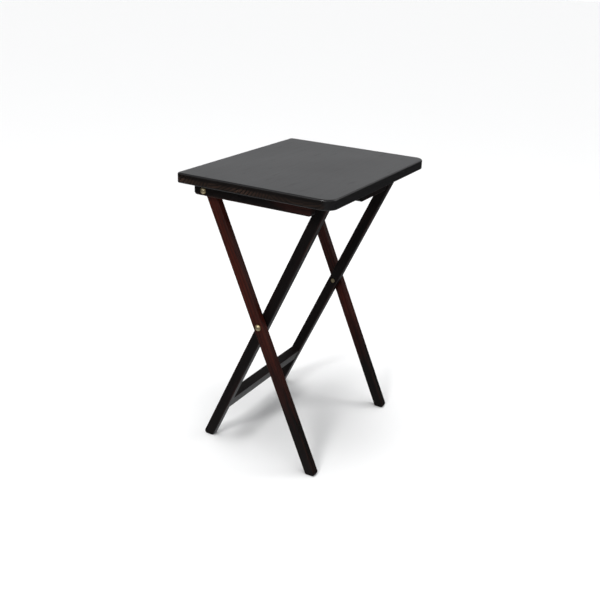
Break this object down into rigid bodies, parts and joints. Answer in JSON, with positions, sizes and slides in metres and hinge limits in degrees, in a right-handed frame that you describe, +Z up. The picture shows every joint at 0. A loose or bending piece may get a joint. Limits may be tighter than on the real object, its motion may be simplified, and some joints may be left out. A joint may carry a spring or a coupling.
{
  "type": "folding tray table",
  "caption": "Wooden folding tray table: a flat rounded top on crossed legs that fold flat on brass pivot bolts, with side rails and a lower crossbar.",
  "frame": {"origin": "on the floor, under the middle of the top", "axes": "+Z up; +X across the crossed legs, from the hinge side to the latch side; Y along the hinge axis"},
  "size_m": [0.371, 0.483, 0.66],
  "materials": {
    "top_finish": "satin dark espresso lacquer over wood, faint grain",
    "stained_wood": "satin espresso stain with a red-brown undertone and visible grain",
    "bare_dowel": "unfinished beech",
    "brass": "polished brass plate",
    "steel": "zinc-plated steel"
  },
  "bodies": {
    "inner_frame": {"inner_leg_left": "stained_wood", "inner_leg_right": "stained_wood", "lower_crossbar": "stained_wood", "crossbar_dowels_left": "bare_dowel", "crossbar_dowels_right": "bare_dowel", "latch_dowel": "stained_wood", "pivot_bolt_left": "brass", "pivot_bolt_right": "brass", "pivot_nut_left": "steel", "pivot_nut_right": "steel", "pivot_washer_left": "steel", "pivot_washer_right": "steel"},
    "outer_legs": {"outer_leg_left": "stained_wood", "outer_leg_right": "stained_wood"},
    "hinge_pins": {"hinge_bolt_left": "brass", "hinge_bolt_right": "brass", "hinge_nut_left": "steel", "hinge_nut_right": "steel", "hinge_washer_left": "steel", "hinge_washer_right": "steel"},
    "top": {"tabletop": "top_finish", "rail_left": "stained_wood", "rail_right": "stained_wood", "latch_block": "stained_wood", "stop_block": "stained_wood", "rail_screws_left": "steel", "rail_screws_right": "steel", "latch_block_screws": "steel", "stop_block_screws": "steel"}
  },
  "joints": [
    {"name": "leg_fold", "type": "hinge", "parent": "inner_frame", "child": "outer_legs", "pos_m": [-0.001, 0, 0.331], "axis": [0, 1, 0], "range_deg": [0, 48.53]},
    {"name": "top_follow", "type": "hinge", "parent": "outer_legs", "child": "hinge_pins", "pos_m": [-0.133, 0, 0.6238], "axis": [0, 1, 0], "range_deg": [-24.27, 0]},
    {"name": "top_lift", "type": "hinge", "parent": "hinge_pins", "child": "top", "pos_m": [-0.133, 0, 0.6238], "axis": [0, -1, 0], "range_deg": [0, 90]}
  ],
  "couplings": [
    {"joint": "top_follow", "follows": "leg_fold", "ratio": -0.5}
  ]
}
